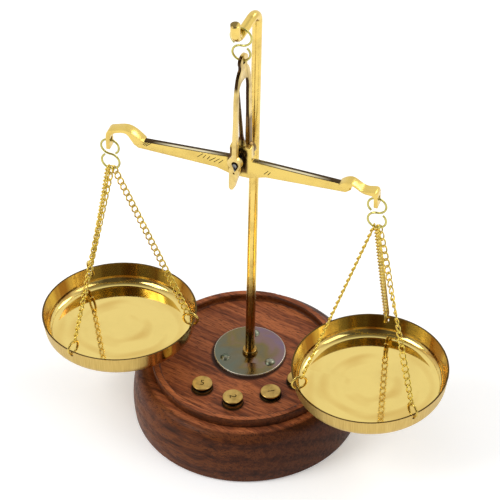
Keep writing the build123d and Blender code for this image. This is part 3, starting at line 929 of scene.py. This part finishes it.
@dataclass
class SoftenedCopy:
    """A copy of a node with its sharp edges rubbed round, as handling and polishing leave them."""

    node: str
    name: str
    width: float = 0.35
    steps: int = 2
    merge: float = 0.002
    sharp_angle: float = 32.0
    flat_angle: float = 1.2

    def build(self, nodes: Nodes, finish: Finish) -> Piece:
        """Copies the node's mesh, joins its loose triangles and rounds its edges.

        Args:
            nodes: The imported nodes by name.
            finish: The finish of the copy.

        Returns:
            The rounded piece.
        """
        source = nodes[self.node]
        form = bmesh.new()
        form.from_mesh(source.data)
        bmesh.ops.remove_doubles(form, verts=form.verts, dist=self.merge * MM)
        flat = math.radians(self.flat_angle)
        bmesh.ops.dissolve_limit(form, angle_limit=flat, verts=form.verts, edges=form.edges)
        mesh = bpy.data.meshes.new(self.name)
        form.to_mesh(mesh)
        form.free()
        host = link_object(self.name, mesh)
        sharp = math.radians(self.sharp_angle)
        bevel = host.modifiers.new("rubbed_edges", "BEVEL")
        bevel.limit_method = "ANGLE"
        bevel.angle_limit = sharp
        bevel.width = self.width * MM
        bevel.segments = self.steps
        piece = collect(host, self.name)
        piece.data.shade_smooth()
        piece.data.set_sharp_from_angle(angle=sharp)
        finish.dress(piece)
        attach(piece, source["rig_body"])
        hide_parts(self.node)
        LOG.info("%s: %d faces", piece.name, len(piece.data.polygons))
        return piece


@dataclass
class FileStrokes:
    """Short slanted file strokes cut across the front of the beam's arms."""

    rows: tuple[tuple[Triple, Triple, int], ...] = (
        ((-48.2, -12.26, 178.7), (-45.4, -12.26, 178.2), 4),
        ((-18.0, -12.26, 178.5), (-7.2, -12.26, 177.1), 6),
        ((16.6, -12.26, 176.2), (18.2, -12.26, 175.9), 2),
    )
    length: float = 3.9
    width: float = 0.34
    depth: float = 0.08
    slant: float = 40.0
    slant_spread: Span = (0.75, 1.25)
    length_spread: Span = (0.55, 1.15)
    seed: int = 3

    def build(self, finish: Finish) -> Piece:
        """Repeats the stroke along each row.

        Args:
            finish: The dark finish in the strokes.

        Returns:
            One mesh with every stroke.
        """
        values = {
            "Length": self.length * MM,
            "Width": self.width * MM,
            "Depth": self.depth * MM,
            "Slant": math.radians(self.slant),
            "Seed": self.seed,
            "Material": finish.material(),
        }
        tree = start_tree("FileStrokes", values)
        given = tree.nodes.new("NodeGroupInput").outputs
        size = add(tree, "CombineXYZ", {0: given["Width"], 1: given["Depth"], 2: given["Length"]})
        stroke = add(tree, "GeometryNodeMeshCube", {"Size": size})
        drawn = {"out": 1, "data_type": "FLOAT"}
        least, most = self.slant_spread
        turn = {2: least, 3: most, "Seed": given["Seed"]}
        turn = add(tree, "FunctionNodeRandomValue", turn, **drawn)
        slant = add(tree, "Math", {0: given["Slant"], 1: turn}, operation="MULTIPLY")
        rotation = add(tree, "CombineXYZ", {0: 0.0, 1: slant, 2: 0.0})
        least, most = self.length_spread
        index = add(tree, "GeometryNodeInputIndex")
        stretch = {2: least, 3: most, "Seed": given["Seed"], "ID": index}
        stretch = add(tree, "FunctionNodeRandomValue", stretch, **drawn)
        scale = add(tree, "CombineXYZ", {0: 1.0, 1: 1.0, 2: stretch})
        placing = {"Rotation": rotation, "Scale": scale}
        repeat(tree, given["Geometry"], stroke, given["Material"], **placing)
        points = [
            Vector(first).lerp(Vector(last), step / (count - 1)) * MM
            for first, last, count in self.rows
            for step in range(count)
        ]
        mesh = bpy.data.meshes.new("stroke_points")
        mesh.from_pydata(points, [], [])
        return run_tree(link_object("stroke_points", mesh), tree, values, "beam_file_strokes")


@dataclass
class Studio:
    """A white table, a white room and soft boxes, seen by the fitted camera."""

    eye: Triple = (446.93, -1240.88, 1296.73)
    elevation: float = 41.994
    azimuth: float = 19.683
    roll: float = -1.003
    focal_pixels: float = 3461.24
    picture_pixels: float = 500.0
    sensor: float = 36.0
    clip: Span = (0.05, 50.0)
    floor_reach: float = 6.0
    floor_colour: str = "FAFAFA"
    floor_lift: float = 0.22
    floor_fade: Span = (0.45, 1.0)
    room_for_matt: float = 0.62
    dark_side: Triple = (0.12, -0.72, 0.68)
    room_shades: tuple[tuple[float, str], ...] = (
        (0.0, "FFFFFF"), (0.35, "FAFAFA"), (0.62, "9A9896"), (0.86, "5A5650"),
    )
    lamp_aim: Triple = (0.0, 0.0, 0.1)
    lamps: tuple[tuple[str, Triple, float, float], ...] = (
        ("soft_box_left", (-0.9, -0.7, 1.2), 0.7, 9.0),
        ("soft_box_right", (1.0, -0.2, 0.9), 0.6, 2.8),
        ("soft_box_back", (0.85, 0.9, 1.2), 0.5, 4.0),
    )

    def place_camera(self) -> None:
        """Puts the camera where the photograph was taken from."""
        data = bpy.data.cameras.new("photograph_camera")
        data.sensor_width = self.sensor
        data.lens = self.focal_pixels / self.picture_pixels * self.sensor
        data.clip_start, data.clip_end = self.clip
        camera = link_object("photograph_camera", data)
        level, turn, roll = (math.radians(v) for v in (self.elevation, self.azimuth, self.roll))
        right = Vector((math.cos(turn), math.sin(turn), 0))
        ahead = math.cos(level)
        forward = Vector((-math.sin(turn) * ahead, math.cos(turn) * ahead, -math.sin(level)))
        up = right.cross(forward)
        rolled_right = right * math.cos(roll) + up * math.sin(roll)
        rolled_up = up * math.cos(roll) - right * math.sin(roll)
        matrix = Matrix((rolled_right, rolled_up, -forward)).transposed().to_4x4()
        matrix.translation = Vector(self.eye) * MM
        camera.matrix_world = matrix
        bpy.context.scene.camera = camera

    def rays(self, tree: Tree) -> tuple[Socket, Socket]:
        """Tells apart the rays that see the room.

        Args:
            tree: The node tree of the table or the room.

        Returns:
            Whether a ray comes from the camera, and whether from metal or glass.
        """
        camera, glossy, through = (
            add(tree, "LightPath", out=f"Is {ray} Ray")
            for ray in ("Camera", "Glossy", "Transmission")
        )
        metal = add(tree, "Math", {0: glossy, 1: through}, operation="MAXIMUM")
        return camera, metal

    def lay_floor(self) -> None:
        """Lays the pale table top that keeps the object's shadow."""
        mesh = bpy.data.meshes.new("table_top")
        corners = ((-1, -1), (1, -1), (1, 1), (-1, 1))
        corners = [(x * self.floor_reach, y * self.floor_reach, 0) for x, y in corners]
        mesh.from_pydata(corners, [], [(0, 1, 2, 3)])
        floor = link_object("table_top", mesh)
        material = bpy.data.materials.new("white_laminate")
        material.use_nodes = True
        tree = material.node_tree
        tree.nodes.clear()
        matt = {"Base Color": linear(self.floor_colour), "Roughness": 0.9}
        laminate = add(tree, "BsdfPrincipled", matt | {"Specular IOR Level": 0.1})
        camera, metal = self.rays(tree)
        seen = add(tree, "Math", {0: metal, 1: camera}, operation="MAXIMUM")
        lift = add(tree, "Math", {0: seen, 1: self.floor_lift}, operation="MULTIPLY")
        lift = add(tree, "Emission", {"Color": WHITE, "Strength": lift})
        lifted = add(tree, "AddShader", {0: laminate, 1: lift})
        place = add(tree, "TexCoord", out="Object")
        away = add(tree, "VectorMath", {0: place}, "Value", operation="LENGTH")
        faded = add(tree, "MapRange", span(away, *self.floor_fade))
        faded = add(tree, "Math", {0: faded, 1: seen}, operation="MULTIPLY")
        white = add(tree, "Emission", {"Color": WHITE, "Strength": 1.0})
        table = add(tree, "MixShader", {0: faded, 1: lifted, 2: white})
        add(tree, "OutputMaterial", {"Surface": table})
        mesh.materials.append(material)

    def hang_room(self) -> None:
        """Makes the white room: full strength to the eye and in metal, dimmer on matt surfaces."""
        world = bpy.data.worlds.new("white_room")
        bpy.context.scene.world = world
        world.use_nodes = True
        tree = world.node_tree
        tree.nodes.clear()
        camera, metal = self.rays(tree)
        ways = {0: add(tree, "TexCoord", out="Generated"), 1: self.dark_side}
        to_dark = add(tree, "VectorMath", ways, "Value", operation="DOT_PRODUCT")
        shades = add(tree, "ValToRGB", {"Fac": to_dark}, stops=self.room_shades)
        matt, mirrored, white = (
            add(tree, "Background", {"Color": colour, "Strength": strength})
            for colour, strength in ((WHITE, self.room_for_matt), (shades, 1.0), (WHITE, 1.0))
        )
        lit = add(tree, "MixShader", {0: metal, 1: matt, 2: mirrored})
        seen = add(tree, "MixShader", {0: camera, 1: lit, 2: white})
        add(tree, "OutputWorld", {"Surface": seen})

    def hang_lamp(self, name: str, place: Triple, size: float, power: float) -> None:
        """Hangs one soft box that faces the scale.

        Args:
            name: The lamp's name.
            place: Where it hangs, in metres.
            size: Its side, in metres.
            power: Its power, in watts.
        """
        data = bpy.data.lights.new(name, "AREA")
        data.size = size
        data.energy = power
        lamp = link_object(name, data)
        lamp.location = place
        lamp.rotation_mode = "QUATERNION"
        way = Vector(self.lamp_aim) - Vector(place)
        lamp.rotation_quaternion = way.to_track_quat("-Z", "Y")

    def build(self) -> None:
        """Sets up the camera, the table, the room and the lamps."""
        self.place_camera()
        self.lay_floor()
        self.hang_room()
        for lamp in self.lamps:
            self.hang_lamp(*lamp)
        bpy.context.scene.view_settings.view_transform = "Standard"
        LOG.info("studio: camera, table, room and %d soft boxes", len(self.lamps))


def dress(nodes: Nodes, finish: Finish, *names: str) -> None:
    """Puts a finish on carried-over nodes and reports it."""
    for name in names:
        finish.dress(nodes[name])
        LOG.info("%s: %s", name, finish.name)


@dataclass
class Weight:
    """A turned brass weight with a plain number struck into its head."""

    number: int
    place: Span
    height: float
    text: str
    turn: float
    floor: float = 27.0
    groove: Span = (-2.7, -0.6)
    text_size: float = 5.2
    text_depth: float = 0.05

    def build(self, nodes: Nodes, dirt: Finish) -> None:
        """Dresses the weight and strikes its number.

        Args:
            nodes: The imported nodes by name.
            dirt: The dark finish in the number.
        """
        low, high = self.groove
        # Much handled brass: dull olive film, and painted shade in the groove under the head.
        finish = WeightBrass(
            f"turned_brass_{self.number}", polish="C2A25C", tarnish="6E562A", tarnish_share=0.55,
            tarnish_size=4, roughness=0.36, tarnished_roughness=0.7,
            centre=(*self.place, self.floor), groove=(self.height + low, self.height + high),
        )
        dress(nodes, finish, f"weight_{self.number}")
        mark = self.strike(dirt)
        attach(mark, f"weight_{self.number}")

    def strike(self, dirt: Finish) -> Piece:
        """Cuts the number as a thin dark mark on the weight's head.

        Args:
            dirt: The dark finish in the mark.

        Returns:
            The mark.
        """
        name = f"weight_{self.number}_number"
        curve = bpy.data.curves.new(name, "FONT")
        curve.body = self.text
        curve.size = self.text_size * MM
        curve.align_x = curve.align_y = "CENTER"
        curve.extrude = self.text_depth * MM
        curve.resolution_u = 3
        piece = collect(link_object(name, curve), name)
        head = Vector((*self.place, self.floor + self.height)) * MM
        turn = Matrix.Rotation(math.radians(self.turn), 4, "Z")
        piece.data.transform(Matrix.Translation(head) @ turn)
        dirt.dress(piece)
        return piece


@dataclass
class Stand:
    """The base, the plate with its screws, and the pillar with its washer and nut."""

    weights: tuple[Weight, ...]
    plate_centre: Triple = (0.0, 5.5, 33.0)
    # Ring of painted contact shadow and dirt round the plate, its centre 1.5 mm to the front of the
    # plate's.
    plate_grime_and_shadow: tuple[Triple, float, float] = ((-0.3, 4.0, 0.0), 19.2, 1.2)
    rod_tip: Triple = (1.1, -16.4, 270.2)
    rod_tip_half: Triple = (3.6, 3.6, 1.4)

    def build(self, nodes: Nodes) -> None:
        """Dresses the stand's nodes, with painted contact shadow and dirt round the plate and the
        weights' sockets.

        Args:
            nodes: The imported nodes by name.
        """
        # Rings of painted contact shadow and dirt round the weights' sockets, 0.5 mm to the front.
        sockets = (((x, y - 0.5, 0.0), 5.5, 0.9) for x, y in (w.place for w in self.weights))
        wood = Rosewood("sheesham_rosewood", grime_and_shadow_rings=(self.plate_grime_and_shadow, *sockets))
        dress(nodes, wood, "wooden_base")
        plate = HeatTintedSteel("heat_tinted_steel", centre=self.plate_centre)
        SoftenedCopy("flange_plate", "flange_disc", width=0.3).build(nodes, plate)
        dress(nodes, Steel("filmed_steel"), "flange_screws")
        plated = Steel("zinc_plated_steel", bright="B9BBBD", film="84878A")
        dress(nodes, plated, "pillar_washer", "pillar_nut")
        # Drawn rod: long marks of the draw plate, a dull cut end, and brown on the foot as painted
        # reflection of the wooden base.
        rod = Brass(
            "drawn_brass_rod", polish="EACB70", tarnish_share=0.35, grain_axis=2, grain_length=40,
            films_and_painted_light=(StainAndShadeBox("7A6638", self.rod_tip, self.rod_tip_half), BaseReflectionOnFoot("744E28")),
        )
        dress(nodes, rod, "pillar_rod")


@dataclass
class Balance:
    """The hooks, the fork, the knife edge and the beam with its file strokes."""

    middle: Triple = (3.4, -10.6, 182.0)
    fork_strip: Span = (229.0, 252.0)
    # Painted shade on the back leg's lower end and its boss, between the fork's legs.
    fork_painted_shade: tuple[Triple, Triple] = ((6.2, -2.6, 190.0), (5.0, 3.4, 15.0))
    # Painted shade on the beam: the fork's shadow and reflection on the hub's front, the pointer in
    # shade between the legs, and the shade round the pointer's foot.
    beam_painted_shade: tuple[tuple[Triple, Triple], ...] = (
        ((1.6, -12.3, 180.4), (5.4, 3.0, 8.0)),
        ((3.0, -10.6, 212.0), (4.5, 3.0, 22.0)),
        ((3.4, -9.4, 195.2), (6.5, 2.6, 2.0)),
    )

    def build(self, nodes: Nodes, dirt: Finish) -> None:
        """Dresses the hooks and the knife edge, and rounds the edges of the fork and the beam.

        Args:
            nodes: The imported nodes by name.
            dirt: The dark finish in the file strokes.
        """
        dress(nodes, Steel("hardened_steel", bright="8A8A88", film="2A2622"), "knife_edge")
        # Thin wire: greener than the cast parts, with small spots of tarnish.
        wire = Brass(
            "brass_wire", polish="C9BE6C", tarnish="7C7432", tarnish_share=0.5, tarnish_size=3
        )
        dress(nodes, wire, "hanger_hook", "left_beam_hook", "right_beam_hook")
        # Yellow casting: filed pale on the faces; painted shade darkens the inner sides between the
        # legs and the lower back leg, and the front is darkened between two heights.
        casting = Brass(
            "yellow_casting_brass", polish="E2C67C", tarnish="6A5024", tarnish_share=0.5,
            roughness=0.26, grain_axis=2,
            films_and_painted_light=(InnerShadeAndStrip("3E2A14", self.middle, self.fork_strip),
                   StainAndShadeBox("6E5430", *self.fork_painted_shade)),
        )
        SoftenedCopy("suspension_fork", "fork_forging", width=0.3).build(nodes, casting)
        # Filed bar: bright faces, a dark top with a painted highlight streak along it, and painted
        # shadow and reflection of the fork round the hub and the pointer.
        filed = Brass(
            "filed_beam_brass", roughness=0.24, grain_axis=2,
            films_and_painted_light=(TopFilm("44341F", self.middle), TopHighlightStreak("E6DAB4", self.middle),
                   *(StainAndShadeBox("4A2C12", *box) for box in self.beam_painted_shade)),
        )
        SoftenedCopy("beam", "beam_bar").build(nodes, filed)
        strokes = FileStrokes().build(dirt)
        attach(strokes, "balance_beam")


@dataclass
class HangingPan:
    """A pan with its three rings and its three curb chains."""

    side: str
    centre: Triple
    buffed_half: float
    routes: tuple[Route, ...]

    def build(self, nodes: Nodes) -> None:
        """Dresses the pan and its rings, and lays the twisted links of its chains.

        Args:
            nodes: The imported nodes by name.
        """
        side = self.side
        spun = PanBrass(
            f"spun_brass_{side}", polish="EAD07C", tarnish_share=0.10, tarnish_size=26,
            roughness=0.06, relief=(0.22, 0.02), centre=self.centre, buffed_half=self.buffed_half,
        )
        dress(nodes, spun, f"{side}_pan")
        # Bent wire: duller and browner than the chain, which rubs itself bright.
        wire = Brass(
            "ring_brass", polish="CDB058", tarnish="76602A", tarnish_share=0.5, tarnish_size=4
        )
        dress(nodes, wire, *(f"{side}_ring_{n}" for n in (1, 2, 3)))
        chain = Brass(
            "curb_chain_brass", polish="E8CA58", tarnish="78602A", tarnish_share=0.45,
            tarnish_size=3, roughness=0.13,
        )
        links = CurbChain(f"{side}_curb_chains", self.routes).build(chain)
        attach(links, f"{side}_pan_set")
        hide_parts(*(f"{side}_chain_{n}" for n in (1, 2, 3)))
        LOG.info("%s: %d faces", links.name, len(links.data.polygons))


WEIGHTS = (
    Weight(1, (-14.8, -27.7), 8.8, "5", 15),
    Weight(2, (3.9, -33.0), 9.6, "2", -65),
    Weight(3, (20.8, -21.5), 7.9, "1", -60),
    Weight(4, (30.8, -7.6), 8.0, "1", 0),
)
# Each route: a chain's two ends, and how far its first and last link turn from facing the front.
LEFT_ROUTES = (
    ((-68.39, -10.94, 157.14), (-92.83, 16.03, 58.06), -45.0, -76.0),
    ((-66.95, -10.12, 156.85), (-78.00, -46.34, 62.51), 5.0, -80.0),
    ((-65.99, -10.65, 157.14), (-29.19, -7.15, 61.79), -15.0, -5.0),
)
RIGHT_ROUTES = (
    ((72.71, -10.30, 156.13), (41.46, -32.94, 60.63), -80.0, -85.0),
    ((73.97, -11.10, 155.85), (68.51, 26.73, 60.64), -24.0, -16.0),
    ((75.16, -10.29, 156.14), (101.01, -33.96, 60.71), 50.0, -240.0),
)
PANS = (
    HangingPan("left", (-66.6, -10.6, 57.0), 41.0, LEFT_ROUTES),
    HangingPan("right", (71.5, -10.6, 57.0), 0.0, RIGHT_ROUTES),
)


def main() -> None:
    """Loads the frame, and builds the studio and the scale."""
    logging.basicConfig(level=logging.INFO, format="%(message)s")
    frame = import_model()
    Studio().build()
    nodes = frame["nodes"]
    dirt = Steel("blackened_mark", bright="4A3A1E", film="20170C", roughness=0.6)
    Stand(WEIGHTS).build(nodes)
    Balance().build(nodes, dirt)
    for pan in PANS:
        pan.build(nodes)
    for weight in WEIGHTS:
        weight.build(nodes, dirt)
    bpy.context.view_layer.update()


if __name__ == "__main__":
    main()
